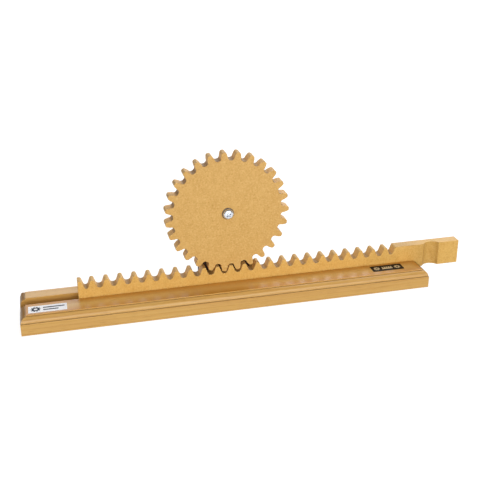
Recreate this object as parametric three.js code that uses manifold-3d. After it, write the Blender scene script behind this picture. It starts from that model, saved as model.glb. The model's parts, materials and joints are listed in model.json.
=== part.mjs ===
// Rack and pinion demonstration model.
//
// A straight rack with a finger-grip handle slides in a channel milled along a moulded wooden board. It turns
// a 27-tooth pinion that hangs on a screw through a rounded post, which stands behind the rack.
//
// Units are millimetres. +X runs along the rack towards the handle, +Y from front to back, +Z up. The origin
// is the centre of the board's underside, straight below the pinion's axle.

import * as THREE from "three";
import { mergeVertices } from "three/addons/utils/BufferGeometryUtils.js";
import Module from "manifold-3d";

const wasm = await Module();
wasm.setup();

// ---- Driving dimensions ---------------------------------------------------------------------------------

const GEAR_MODULE = 4.7; // pitch diameter over tooth count: 27 teeth make a 127 mm (5 inch) pitch circle
const PINION_TEETH = 27;
const PRESSURE_ANGLE = THREE.MathUtils.degToRad(20);
const TOOTH_THICKNESS = 6; // along the pitch line, on rack and pinion alike; the gaps are wider: loose running
const SHEET = 12; // thickness of the fibreboard that the rack, the pinion and the post are cut from

const BOARD_LENGTH = 440;
const BOARD_DEPTH = 66;
const BOARD_HEIGHT = 20;
const PLINTH_HEIGHT = 12.8; // plain vertical foot of the board's edge, below the moulding
const MOULDING_INSET = 6; // from the plinth's face back to the edge of the flat top
const QUIRK_STEP = 0.6; // narrow ledge under the rounded part of the moulding
const TOP_FILLET = 1.3; // small square step above the rounded part

const CHANNEL_WIDTH = 14.6;
const CHANNEL_CENTRE_Y = 3.9; // behind the board's middle, so the front ledge is the wide one
const CHANNEL_FLOOR_Z = 10.9;

const RACK_BOTTOM_Z = 11.1;
const RACK_PITCH_HEIGHT = 23.7; // from the rack's underside to its pitch line
const RACK_ADDENDUM = 3.6;
const RACK_DEDENDUM = 4.9;
const RACK_LEFT_X = -159.9; // the end is sawn through the crest of a tooth
const RACK_RIGHT_X = 268.9; // end of the handle
const RACK_FULL_TEETH = 23;
const TEETH_LEFT_OF_AXLE = 10; // full teeth to the left of the tooth in mesh below the axle
const MESH_OFFSET_X = 2.8; // how far the tooth in mesh stands to the right of the axle
const SHOULDER_ADVANCE = 1.6; // the handle's shoulder is this much nearer the last tooth than a tooth is
const SAWN_ADVANCE = 1.8; // the sawn tooth is this much nearer its neighbour, and their root is narrower

const PINION_ADDENDUM = 2.85;
const PINION_DEDENDUM = 5.4;
const TIP_RADIUS = 1.8; // rounding of the tooth crests
const RACK_ROOT_RADIUS = 3.4; // the roots are almost fully round
const SAWN_ROOT_RADIUS = 2.3; // in the narrower gap beside the sawn tooth
const PINION_ROOT_RADIUS = 2.9;
const ROOT_CHORDS = 5;
const UNDERCUT_START = 1.3; // the involute flank begins this far outside the base circle

const SCOOP_RADIUS = 10.5; // upright half-round hollow in the handle's front, for a fingertip
const SCOOP_DEPTH = 5.4;
const SCOOP_CENTRE_X = 235.2;

const POST_WIDTH = 58;
const POST_CROWN_RADIUS = 29; // half the width, so the top is a half circle about the axle

const SCREW_DIAMETER = 6; // M6 pan head machine screw
const SCREW_LENGTH = 35;
const SCREW_HEAD_DIAMETER = 11.2;
const SCREW_HEAD_HEIGHT = 4.2;
const SCREW_END_CHAMFER = 0.8;
const SCREW_RECESS = { span: 6, slotWidth: 1.3, depth: 2.6 };
const BORE_DIAMETER = 6.6; // clearance bore of the pinion and the post
const WASHER_BORE = 6.6;
const FRONT_WASHER = { diameter: 12.8, thickness: 0.8 };
const PLAIN_WASHER = { diameter: 12, thickness: 1.6 };
const NUT_ACROSS_FLATS = 10;
const NUT_HEIGHT = 5;
const NUT_BEVEL = 0.6;

const POST_SCREW_SPACING = 36;
const POST_SCREW = { diameter: 4, headDiameter: 8, length: 34, pointLength: 5 };
const POST_SCREW_RECESS = { span: 4.4, slotWidth: 0.9, depth: 2 };

const MAKER_LABEL = { width: 38.6, depth: 14.4, x: -192, y: -16.4, thickness: 0.3 };
const PART_LABEL = { width: 36.4, depth: 13.4, x: 177.6, y: -13.8, thickness: 0.3 };
const LABEL_CORNER = 0.8;
const LABEL_LIFT = 0.05; // thickness of the adhesive under a label

const RUNNING_GAP = 0.15; // along the axle, each side of a washer
const SEAT_GAP = 0.3; // between pieces that are fixed to each other
const HOLE_GAP = 0.3; // all round a fixed screw in its hole
const PAST = 5; // how far a cutter runs out beyond the faces that it cuts
const ROUND_SEGMENTS = 32;

// ---- Sizes that follow from them ------------------------------------------------------------------------

const PITCH = Math.PI * GEAR_MODULE;
const PITCH_RADIUS = (GEAR_MODULE * PINION_TEETH) / 2;
const BASE_RADIUS = PITCH_RADIUS * Math.cos(PRESSURE_ANGLE);
const TIP_CIRCLE = PITCH_RADIUS + PINION_ADDENDUM;
const ROOT_CIRCLE = PITCH_RADIUS - PINION_DEDENDUM;

const RACK_PITCH_Z = RACK_BOTTOM_Z + RACK_PITCH_HEIGHT;
const RACK_TOP_Z = RACK_PITCH_Z + RACK_ADDENDUM;
const RACK_ROOT_Z = RACK_PITCH_Z - RACK_DEDENDUM;
const AXLE_Z = RACK_PITCH_Z + PITCH_RADIUS;

// Stations along the axle, front to back.
const RACK_FRONT_Y = CHANNEL_CENTRE_Y - SHEET / 2;
const PINION_BACK_Y = RACK_FRONT_Y + SHEET;
const SPACER_Y = PINION_BACK_Y + RUNNING_GAP;
const POST_FRONT_Y = SPACER_Y + PLAIN_WASHER.thickness + RUNNING_GAP;
const POST_BACK_Y = POST_FRONT_Y + SHEET;
const REAR_WASHER_Y = POST_BACK_Y + RUNNING_GAP;
const NUT_Y = REAR_WASHER_Y + PLAIN_WASHER.thickness + RUNNING_GAP;
const FRONT_WASHER_Y = RACK_FRONT_Y - RUNNING_GAP - FRONT_WASHER.thickness;
const SCREW_SEAT_Y = FRONT_WASHER_Y - RUNNING_GAP;

const POST_CENTRE_Y = (POST_FRONT_Y + POST_BACK_Y) / 2;
const POST_BOTTOM_Z = BOARD_HEIGHT + SEAT_GAP;

// ---- Geometry helpers -----------------------------------------------------------------------------------

function toSolid(geometry) {
  const bare = geometry.clone();
  bare.deleteAttribute("normal");
  bare.deleteAttribute("uv");
  const merged = mergeVertices(bare, 1e-4);
  const triVerts = new Uint32Array(merged.index.array);
  const vertProperties = merged.attributes.position.array;
  return new wasm.Manifold(new wasm.Mesh({ numProp: 3, vertProperties, triVerts }));
}

function toGeometry(solid) {
  const mesh = solid.getMesh();
  const geometry = new THREE.BufferGeometry();
  geometry.setAttribute("position", new THREE.BufferAttribute(mesh.vertProperties, 3));
  geometry.setIndex(new THREE.BufferAttribute(mesh.triVerts, 1));
  geometry.computeVertexNormals();
  return geometry;
}

function cut(geometry, ...tools) {
  const solid = tools.reduce((left, tool) => left.subtract(toSolid(tool)), toSolid(geometry));
  return toGeometry(solid);
}

function common(a, b) {
  return toGeometry(toSolid(a).intersect(toSolid(b)));
}

// An outline's corner: a point, the radius of its rounding, and the chords that draw the rounding.
function corner(x, y, radius = 0, chords = 3) {
  return { point: new THREE.Vector2(x, y), radius, chords };
}

function mirrored(corners) {
  return corners.map(({ point, radius, chords }) => corner(-point.x, point.y, radius, chords)).reverse();
}

// The points of a closed outline, with an arc in place of each corner that has a radius.
function roundedPoints(corners) {
  return corners.flatMap(({ point, radius, chords }, i) => {
    if (radius === 0) return [point];
    const previous = corners[(i + corners.length - 1) % corners.length].point;
    const next = corners[(i + 1) % corners.length].point;
    const back = previous.clone().sub(point).normalize();
    const ahead = next.clone().sub(point).normalize();
    const halfAngle = Math.acos(THREE.MathUtils.clamp(back.dot(ahead), -1, 1)) / 2;
    const reach = radius / Math.tan(halfAngle);
    const toCentre = back.clone().add(ahead).normalize();
    const centre = point.clone().addScaledVector(toCentre, radius / Math.sin(halfAngle));
    const start = point.clone().addScaledVector(back, reach).sub(centre);
    const end = point.clone().addScaledVector(ahead, reach).sub(centre);
    const sweep = Math.atan2(start.cross(end), start.dot(end));
    const turn = (k) => start.clone().rotateAround(new THREE.Vector2(), (sweep * k) / chords);
    return Array.from({ length: chords + 1 }, (_, k) => turn(k).add(centre));
  });
}

// A flat piece: an outline in X and Z, cut from sheet that reaches from yFront to yFront + thickness.
function sheetPiece(shape, yFront, thickness) {
  const geometry = new THREE.ExtrudeGeometry(shape, { depth: thickness, bevelEnabled: false });
  return geometry.rotateX(Math.PI / 2).translate(0, yFront + thickness, 0);
}

// A piece turned about the Y axis. The profile's points are [radius, y], from the front to the back.
function turned(profile, segments = ROUND_SEGMENTS) {
  const points = profile.map(([radius, y]) => new THREE.Vector2(radius, y));
  return new THREE.LatheGeometry(points, segments);
}

function ringProfile(innerRadius, outerRadius, front, back) {
  return [
    [innerRadius, front],
    [outerRadius, front],
    [outerRadius, back],
    [innerRadius, back],
    [innerRadius, front],
  ];
}

function boxBetween(low, high) {
  const size = high.map((v, i) => v - low[i]);
  const middle = high.map((v, i) => (v + low[i]) / 2);
  return new THREE.BoxGeometry(...size).translate(...middle);
}

// Two crossed slots with their mouth at y = 0, for a screwdriver that comes from the front.
function crossRecess({ span, slotWidth, depth }) {
  const slot = (x, z) => boxBetween([-x / 2, -PAST, -z / 2], [x / 2, depth, z / 2]);
  return [slot(span, slotWidth), slot(slotWidth, span)];
}

// ---- The board ------------------------------------------------------------------------------------------

// Section of the board across one of its sides: plinth, quirk, quarter round, small fillet, flat top.
function mouldingSection(width) {
  const half = width / 2;
  const flatEdge = half - MOULDING_INSET;
  const roundTop = BOARD_HEIGHT - TOP_FILLET;
  const roundReach = MOULDING_INSET - QUIRK_STEP - TOP_FILLET / 2;
  const roundSteps = 6;
  const side = [corner(half, 0), corner(half, PLINTH_HEIGHT)];
  for (let k = 0; k <= roundSteps; k += 1) {
    const angle = ((Math.PI / 2) * k) / roundSteps;
    const x = half - QUIRK_STEP - roundReach * (1 - Math.cos(angle));
    side.push(corner(x, PLINTH_HEIGHT + (roundTop - PLINTH_HEIGHT) * Math.sin(angle)));
  }
  side.push(corner(flatEdge, roundTop), corner(flatEdge, BOARD_HEIGHT));
  return new THREE.Shape(roundedPoints([...side, ...mirrored(side)]));
}

// The two sections cross, so the moulding meets itself in a mitre at each corner of the board.
function boardGeometry() {
  const alongY = sheetPiece(mouldingSection(BOARD_LENGTH), -BOARD_DEPTH / 2, BOARD_DEPTH);
  const alongX = sheetPiece(mouldingSection(BOARD_DEPTH), -BOARD_LENGTH / 2, BOARD_LENGTH);
  alongX.rotateZ(Math.PI / 2);
  const channel = boxBetween(
    [-BOARD_LENGTH / 2 - PAST, CHANNEL_CENTRE_Y - CHANNEL_WIDTH / 2, CHANNEL_FLOOR_Z],
    [BOARD_LENGTH / 2 + PAST, CHANNEL_CENTRE_Y + CHANNEL_WIDTH / 2, BOARD_HEIGHT + PAST],
  );
  const holes = postScrewPlaces().map((x) => postScrewHole(x));
  return cut(common(alongY, alongX), channel, ...holes);
}

// ---- The rack -------------------------------------------------------------------------------------------

const rackToothX = (index) => MESH_OFFSET_X + index * PITCH;
const halfToothAt = (height) => TOOTH_THICKNESS / 2 - height * Math.tan(PRESSURE_ANGLE);

// Right half of a rack tooth about its own centre line, from its crest down to its root.
function rackToothSide(rootRadius = RACK_ROOT_RADIUS) {
  return [
    corner(halfToothAt(RACK_ADDENDUM), RACK_TOP_Z, TIP_RADIUS),
    corner(halfToothAt(-RACK_DEDENDUM), RACK_ROOT_Z, rootRadius, ROOT_CHORDS),
  ];
}

function movedTo(x, corners) {
  return corners.map(({ point, radius, chords }) => corner(point.x + x, point.y, radius, chords));
}

// The outline runs along the underside to the handle, up its end, and back over the teeth to the sawn end.
function rackGeometry() {
  const right = rackToothSide();
  const left = mirrored(right);
  const sawnTooth = -TEETH_LEFT_OF_AXLE - 1;
  const outline = [corner(RACK_LEFT_X, RACK_BOTTOM_Z), corner(RACK_RIGHT_X, RACK_BOTTOM_Z)];
  outline.push(corner(RACK_RIGHT_X, RACK_TOP_Z));
  const shoulder = sawnTooth + RACK_FULL_TEETH + 1;
  outline.push(...movedTo(rackToothX(shoulder) - SHOULDER_ADVANCE, left).reverse());
  const sawnGapSide = rackToothSide(SAWN_ROOT_RADIUS);
  for (let index = shoulder - 1; index > sawnTooth; index -= 1) {
    const leftSide = index === sawnTooth + 1 ? mirrored(sawnGapSide) : left;
    outline.push(...movedTo(rackToothX(index), right).reverse());
    outline.push(...movedTo(rackToothX(index), leftSide).reverse());
  }
  outline.push(...movedTo(rackToothX(sawnTooth) + SAWN_ADVANCE, sawnGapSide).reverse());
  outline.push(corner(RACK_LEFT_X, RACK_TOP_Z));
  const bar = sheetPiece(new THREE.Shape(roundedPoints(outline)), RACK_FRONT_Y, SHEET);
  return cut(bar, scoopCutter());
}

function scoopCutter() {
  const height = RACK_TOP_Z - RACK_BOTTOM_Z + 2 * PAST;
  const cutter = new THREE.CylinderGeometry(SCOOP_RADIUS, SCOOP_RADIUS, height, ROUND_SEGMENTS);
  cutter.rotateX(Math.PI / 2);
  const middleZ = (RACK_TOP_Z + RACK_BOTTOM_Z) / 2;
  return cutter.translate(SCOOP_CENTRE_X, RACK_FRONT_Y + SCOOP_DEPTH - SCOOP_RADIUS, middleZ);
}

// ---- The pinion -----------------------------------------------------------------------------------------

const involute = (angle) => Math.tan(angle) - angle;

// Half the angle that a tooth fills at a radius on its involute flank.
function halfToothAngle(radius) {
  const flankAngle = Math.acos(Math.min(1, BASE_RADIUS / radius));
  return TOOTH_THICKNESS / 2 / PITCH_RADIUS + involute(PRESSURE_ANGLE) - involute(flankAngle);
}

// One tooth about the direction `middle`, counter-clockwise from root to crest to root.
function pinionTooth(middle) {
  const flankStart = BASE_RADIUS + UNDERCUT_START;
  const flankMiddle = (flankStart + PITCH_RADIUS) / 2;
  const side = [
    { r: ROOT_CIRCLE, half: halfToothAngle(flankStart), radius: PINION_ROOT_RADIUS, chords: ROOT_CHORDS },
    { r: flankStart, half: halfToothAngle(flankStart), radius: 0 },
    { r: flankMiddle, half: halfToothAngle(flankMiddle), radius: 0 },
    { r: PITCH_RADIUS, half: halfToothAngle(PITCH_RADIUS), radius: 0 },
    { r: TIP_CIRCLE, half: halfToothAngle(TIP_CIRCLE), radius: TIP_RADIUS },
  ];
  const at = ({ r, radius, chords }, angle) =>
    corner(r * Math.cos(angle), AXLE_Z + r * Math.sin(angle), radius, chords);
  const rising = side.map((place) => at(place, middle - place.half));
  const falling = side.map((place) => at(place, middle + place.half)).reverse();
  return [...rising, ...falling];
}

// A gap, not a tooth, faces the rack tooth in mesh; from straight down it is turned by the rolled distance.
function pinionGeometry() {
  const toothAngle = (2 * Math.PI) / PINION_TEETH;
  const gapDirection = -Math.PI / 2 + MESH_OFFSET_X / PITCH_RADIUS;
  const outline = [];
  for (let k = 0; k < PINION_TEETH; k += 1) {
    outline.push(...pinionTooth(gapDirection + (k + 0.5) * toothAngle));
  }
  const shape = new THREE.Shape(roundedPoints(outline));
  shape.holes.push(boreOutline());
  return sheetPiece(shape, RACK_FRONT_Y, SHEET);
}

function boreOutline() {
  const points = Array.from({ length: ROUND_SEGMENTS }, (_, k) => {
    const angle = (-2 * Math.PI * k) / ROUND_SEGMENTS;
    const radius = BORE_DIAMETER / 2;
    return new THREE.Vector2(radius * Math.cos(angle), AXLE_Z + radius * Math.sin(angle));
  });
  return new THREE.Path(points);
}

// ---- The post and its screws ----------------------------------------------------------------------------

function postGeometry() {
  const half = POST_WIDTH / 2;
  const crownSteps = 20;
  const points = [new THREE.Vector2(-half, POST_BOTTOM_Z), new THREE.Vector2(half, POST_BOTTOM_Z)];
  for (let k = 0; k <= crownSteps; k += 1) {
    const angle = (Math.PI * k) / crownSteps;
    const x = POST_CROWN_RADIUS * Math.cos(angle);
    points.push(new THREE.Vector2(x, AXLE_Z + POST_CROWN_RADIUS * Math.sin(angle)));
  }
  const shape = new THREE.Shape(points);
  shape.holes.push(boreOutline());
  const holes = postScrewPlaces().map((x) => postScrewHole(x));
  return cut(sheetPiece(shape, POST_FRONT_Y, SHEET), ...holes);
}

function postScrewPlaces() {
  return [-POST_SCREW_SPACING / 2, POST_SCREW_SPACING / 2];
}

// Profile of a countersunk screw that points up from just above the underside, as [radius, z].
function postScrewProfile(grow) {
  const shank = POST_SCREW.diameter / 2 + grow;
  const head = POST_SCREW.headDiameter / 2 + grow;
  const faceZ = SEAT_GAP;
  const tip = POST_SCREW.length + faceZ;
  const coneHeight = head - shank;
  return { shank, head, faceZ, tip, coneHeight };
}

function uprightAt(x, geometry) {
  return geometry.rotateX(Math.PI / 2).translate(x, POST_CENTRE_Y, 0);
}

function postScrewHole(x) {
  const { shank, head, faceZ, tip, coneHeight } = postScrewProfile(HOLE_GAP);
  const profile = [
    [0, -PAST],
    [head, -PAST],
    [head, faceZ],
    [shank, faceZ + coneHeight],
    [shank, tip + HOLE_GAP],
    [0, tip + HOLE_GAP],
  ];
  return uprightAt(x, turned(profile));
}

function postScrewGeometry(x) {
  const { shank, head, faceZ, tip, coneHeight } = postScrewProfile(0);
  const profile = [
    [0, faceZ],
    [head, faceZ],
    [shank, faceZ + coneHeight],
    [shank, tip - POST_SCREW.pointLength],
    [0, tip],
  ];
  const recess = crossRecess(POST_SCREW_RECESS).map((slot) => slot.translate(0, faceZ, 0));
  return uprightAt(x, cut(turned(profile), ...recess));
}

// ---- The pivot ------------------------------------------------------------------------------------------

function washerGeometry({ diameter, thickness }, yFront) {
  const ring = ringProfile(WASHER_BORE / 2, diameter / 2, yFront, yFront + thickness);
  return turned(ring).translate(0, 0, AXLE_Z);
}

// Pan head with a low crown and rounded shoulder, a cross recess, and a plain shank with a chamfered end.
function pivotScrewGeometry() {
  const head = SCREW_HEAD_DIAMETER / 2;
  const shank = SCREW_DIAMETER / 2;
  const crownY = SCREW_SEAT_Y - SCREW_HEAD_HEIGHT;
  const endY = SCREW_SEAT_Y + SCREW_LENGTH;
  const crownAt = (drop) => crownY + SCREW_HEAD_HEIGHT * drop;
  const profile = [
    [0, crownY],
    [head * 0.45, crownAt(0.06)],
    [head * 0.75, crownAt(0.22)],
    [head * 0.93, crownAt(0.46)],
    [head, crownAt(0.75)],
    [head, SCREW_SEAT_Y],
    [shank, SCREW_SEAT_Y],
    [shank, endY - SCREW_END_CHAMFER],
    [shank - SCREW_END_CHAMFER, endY],
    [0, endY],
  ];
  const recess = crossRecess(SCREW_RECESS).map((slot) => slot.translate(0, crownY, 0));
  return cut(turned(profile), ...recess).translate(0, 0, AXLE_Z);
}

// A hexagon with a bore, its corners bevelled off by a double cone.
function nutGeometry() {
  const cornerRadius = NUT_ACROSS_FLATS / 2 / Math.cos(Math.PI / 6);
  const hexagon = new THREE.CylinderGeometry(cornerRadius, cornerRadius, NUT_HEIGHT, 6);
  hexagon.translate(0, NUT_Y + NUT_HEIGHT / 2, 0);
  const back = NUT_Y + NUT_HEIGHT;
  const bevelled = turned([
    [0, NUT_Y],
    [cornerRadius - NUT_BEVEL, NUT_Y],
    [cornerRadius, NUT_Y + NUT_BEVEL],
    [cornerRadius, back - NUT_BEVEL],
    [cornerRadius - NUT_BEVEL, back],
    [0, back],
  ]);
  const bore = turned([
    [0, NUT_Y - PAST],
    [BORE_DIAMETER / 2, NUT_Y - PAST],
    [BORE_DIAMETER / 2, back + PAST],
    [0, back + PAST],
  ]);
  return cut(common(hexagon, bevelled), bore).translate(0, 0, AXLE_Z);
}

// ---- The labels -----------------------------------------------------------------------------------------

function labelGeometry({ width, depth, x, y, thickness }) {
  const rightCorner = (z) => corner(width / 2, z, LABEL_CORNER, 2);
  const right = [rightCorner(-depth / 2), rightCorner(depth / 2)];
  const shape = new THREE.Shape(roundedPoints([...right, ...mirrored(right)]));
  const geometry = new THREE.ExtrudeGeometry(shape, { depth: thickness, bevelEnabled: false });
  return geometry.translate(x, y, BOARD_HEIGHT + LABEL_LIFT);
}

// ---- Materials ------------------------------------------------------------------------------------------

const finish = (color, roughness, metalness = 0) =>
  new THREE.MeshStandardMaterial({ color, roughness, metalness });

const varnishedWood = finish(0xc9954f, 0.4);
const fibreboard = finish(0xdcab66, 0.7);
const darkFibreboard = finish(0x4d2b14, 0.8);
const zincSteel = finish(0xc4c8cc, 0.3, 1);
const dullSteel = finish(0x5c4f47, 0.5, 1);
const whiteVinyl = finish(0xf2f2f4, 0.45);
const blackVinyl = finish(0x241a16, 0.45);

// ---- The assembly ---------------------------------------------------------------------------------------

function piece(name, geometry, material) {
  const mesh = new THREE.Mesh(geometry, material);
  mesh.name = name;
  return mesh;
}

const [leftScrewX, rightScrewX] = postScrewPlaces();

const frame = new THREE.Group();
frame.add(
  piece("base_board", boardGeometry(), varnishedWood),
  piece("support_post", postGeometry(), darkFibreboard),
  piece("post_screw_left", postScrewGeometry(leftScrewX), zincSteel),
  piece("post_screw_right", postScrewGeometry(rightScrewX), zincSteel),
  piece("pivot_screw", pivotScrewGeometry(), zincSteel),
  piece("front_washer", washerGeometry(FRONT_WASHER, FRONT_WASHER_Y), dullSteel),
  piece("spacer_washer", washerGeometry(PLAIN_WASHER, SPACER_Y), zincSteel),
  piece("rear_washer", washerGeometry(PLAIN_WASHER, REAR_WASHER_Y), zincSteel),
  piece("pivot_nut", nutGeometry(), zincSteel),
  piece("maker_label", labelGeometry(MAKER_LABEL), whiteVinyl),
  piece("part_label", labelGeometry(PART_LABEL), blackVinyl),
);

const model = new THREE.Group();
model.add(
  frame,
  piece("rack", rackGeometry(), fibreboard),
  piece("pinion_gear", pinionGeometry(), fibreboard),
);

export default model;
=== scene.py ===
"""Looks of a wooden rack and pinion demonstration model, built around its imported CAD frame.

The pieces are modelled in millimetres and turned into metres when they are placed. +X runs along the rack
towards its handle, +Y from front to back, +Z up, with the origin under the middle of the board.
"""

import json
import math

import bmesh
import bpy
from mathutils import Matrix, Vector
from mathutils.geometry import tessellate_polygon


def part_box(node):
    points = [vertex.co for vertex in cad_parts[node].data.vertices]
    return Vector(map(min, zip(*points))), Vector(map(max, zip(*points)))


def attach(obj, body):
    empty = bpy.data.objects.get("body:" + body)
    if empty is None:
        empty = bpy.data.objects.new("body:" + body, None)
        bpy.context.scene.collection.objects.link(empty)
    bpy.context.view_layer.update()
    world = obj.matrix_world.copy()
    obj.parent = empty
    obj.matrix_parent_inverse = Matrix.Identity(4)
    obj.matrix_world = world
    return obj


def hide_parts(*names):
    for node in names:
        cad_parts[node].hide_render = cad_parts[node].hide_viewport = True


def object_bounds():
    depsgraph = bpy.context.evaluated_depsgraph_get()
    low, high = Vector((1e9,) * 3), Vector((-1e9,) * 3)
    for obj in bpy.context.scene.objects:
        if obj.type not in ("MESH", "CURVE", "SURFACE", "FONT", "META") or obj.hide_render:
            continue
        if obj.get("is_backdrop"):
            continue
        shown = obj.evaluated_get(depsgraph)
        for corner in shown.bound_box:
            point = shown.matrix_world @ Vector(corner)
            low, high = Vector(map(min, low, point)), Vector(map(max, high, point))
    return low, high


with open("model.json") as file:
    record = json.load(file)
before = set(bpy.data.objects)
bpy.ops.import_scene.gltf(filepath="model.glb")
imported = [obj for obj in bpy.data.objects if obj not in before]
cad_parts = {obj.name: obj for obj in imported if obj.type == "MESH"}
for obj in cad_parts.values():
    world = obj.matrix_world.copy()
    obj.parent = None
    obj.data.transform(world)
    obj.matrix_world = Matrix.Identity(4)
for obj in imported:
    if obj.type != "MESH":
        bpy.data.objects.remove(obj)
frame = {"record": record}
CAD_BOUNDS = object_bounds()

MM = 0.001
TAU = 2 * math.pi
SHARP_ANGLE = 30.0  # degrees; shallower edges are shaded smooth

# ---- Sizes, in millimetres ------------------------------------------------------------------------------

GEAR_MODULE = 4.7
PINION_TEETH = 27
PITCH = math.pi * GEAR_MODULE
PITCH_RADIUS = GEAR_MODULE * PINION_TEETH / 2
PRESSURE_ANGLE = math.radians(20)
BASE_RADIUS = PITCH_RADIUS * math.cos(PRESSURE_ANGLE)
TOOTH_THICKNESS = 6.0  # along the pitch line
PINION_ADDENDUM, PINION_DEDENDUM = 2.85, 5.4
RACK_ADDENDUM, RACK_DEDENDUM = 3.6, 4.9
TIP_ROUNDING = 1.8
RACK_ROOT_ROUNDING, PINION_ROOT_ROUNDING = 3.4, 2.9
UNDERCUT_START = 1.3  # the involute flank begins this far outside the base circle
MESH_OFFSET = 2.8  # how far the rack tooth in mesh stands to the right of the axle
TEETH_LEFT_OF_AXLE, TEETH_RIGHT_OF_AXLE = 10, 12
SHOULDER_ADVANCE = 1.6  # the handle's shoulder is this much nearer the last tooth than a tooth is
SAWN_ADVANCE = 1.8  # the same for the sawn tooth at the left end, beside a narrower gap
SAWN_ROOT_ROUNDING = 2.3

SCOOP_RADIUS, SCOOP_DEPTH, SCOOP_X = 10.5, 5.4, 235.2
SCOOP_LIP = 0.7  # rounding of the scoop's upright lips
HANDLE_START = 205.0  # the handle's plain part begins here; it is drawn as upright strips

# Painted shade in the tooth roots, and slightly darker crests:
ROOT_SHADE_START = 3.0  # below the pitch line, where the darker root begins
CREST_SHADE, CREST_SHADE_DEPTH = 0.3, 0.8
# Painted shade in the finger scoop's hollow.
HOLLOW_SHADE = 0.3  # of the finger scoop
# Painted shade at the foot of the channel's walls.
CHANNEL_SHADE = 0.5  # at the foot of the channel's walls, fading towards their top

PLINTH_HEIGHT = 12.8
FOOT_EASING, PLINTH_EASING = 0.5, 0.25
MOULDING_INSET, QUIRK_STEP, TOP_FILLET = 6.0, 0.6, 1.3
LIP = 0.15  # easing of the flat tops' outer edges
# Painted shade on the front ledge's rim:
RIM_WIDTH = 10.5  # the front ledge is darker towards its edges
CHANNEL_WIDTH, CHANNEL_CENTRE, CHANNEL_FLOOR = 14.6, 3.9, 10.9
CHANNEL_EASING = 0.3  # of the channel's upper edges
HOLE_PLAY = 0.3  # round the post screws' heads

BORE_RADIUS = 3.3
SHEET_EDGE = 0.35  # easing of the fibreboard's edges
CORNER_EASING = 0.5  # the same seen from the front, at corners of the outline

SHANK_RADIUS, PIVOT_THREAD_ROOT, PIVOT_THREAD_PITCH = 3.0, 2.4, 1.0
PIVOT_THREAD_START, PIVOT_CHAMFER = 15.0, 0.8
WASHER_EASING = 0.12
POST_SCREW_RADIUS, POST_SCREW_ROOT, POST_SCREW_PITCH = 2.0, 1.35, 1.8
POST_SCREW_PLAIN, POST_SCREW_POINT = 12.0, 6.0  # lengths below the thread and of the point
ROWS_PER_TURN = 10  # of a modelled thread
THREAD_FLAT = 0.12  # share of the pitch that is flat at the crest, and again at the root

STICKER_SINK = 0.045  # how far the film lies below the CAD's label, down on the varnish
FILM, INK = 0.14, 0.02  # thicknesses


def box_mm(node):
    """Lowest and highest corner of a CAD node, in millimetres."""
    low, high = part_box(node)
    return low / MM, high / MM


AXLE = Vector(next(j for j in frame["record"]["behaviour"]["joints"] if j["type"] == "hinge")["pos_m"]) / MM


# ---- Outlines in a plane ----------------------------------------------------------------------------------


def polar(centre, radius, angle):
    """The point at a radius and an angle round a centre."""
    return Vector((centre[0] + radius * math.cos(angle), centre[1] + radius * math.sin(angle)))


def arc(centre, start, end, steps):
    """Points from start to end round centre, the short way."""
    from_centre, to_centre = start - centre, end - centre
    sweep = math.atan2(from_centre.cross(to_centre), from_centre.dot(to_centre))
    turned = [Matrix.Rotation(sweep * k / steps, 2) @ from_centre for k in range(steps + 1)]
    return [centre + point for point in turned]


def rounded(corners, steps=6, closed=True):
    """An outline's points. A corner is (x, y, radius); an open outline keeps its two end points."""
    points = []
    for i, (x, y, radius) in enumerate(corners):
        point = Vector((x, y))
        at_end = not closed and i in (0, len(corners) - 1)
        if radius == 0 or at_end:
            points.append(point)
            continue
        back = (Vector(corners[i - 1][:2]) - point).normalized()
        ahead = (Vector(corners[(i + 1) % len(corners)][:2]) - point).normalized()
        half_angle = math.acos(max(-1.0, min(1.0, back.dot(ahead)))) / 2
        reach = radius / math.tan(half_angle)
        centre = point + (back + ahead).normalized() * radius / math.sin(half_angle)
        points += arc(centre, point + back * reach, point + ahead * reach, steps)
    return points


def inset(points, distance):
    """The closed, counter-clockwise outline moved inwards by a distance."""
    moved = []
    for i, point in enumerate(points):
        before = (point - points[i - 1]).normalized()
        after = (points[(i + 1) % len(points)] - point).normalized()
        normal = Vector((-before.y - after.y, before.x + after.x)).normalized()
        across = max(0.3, normal.dot(Vector((-before.y, before.x))))  # the limit keeps sharp corners in place
        moved.append(point + normal * (distance / across))
    return moved


def circle(radius, segments, centre=(0.0, 0.0), start=0.0):
    """Counter-clockwise points of a circle."""
    return [polar(centre, radius, start + TAU * k / segments) for k in range(segments)]


def mirrored(corners):
    """Corners mirrored in x, in the opposite order."""
    return [(-x, y, radius) for x, y, radius in reversed(corners)]


# ---- Meshes -----------------------------------------------------------------------------------------------


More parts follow.
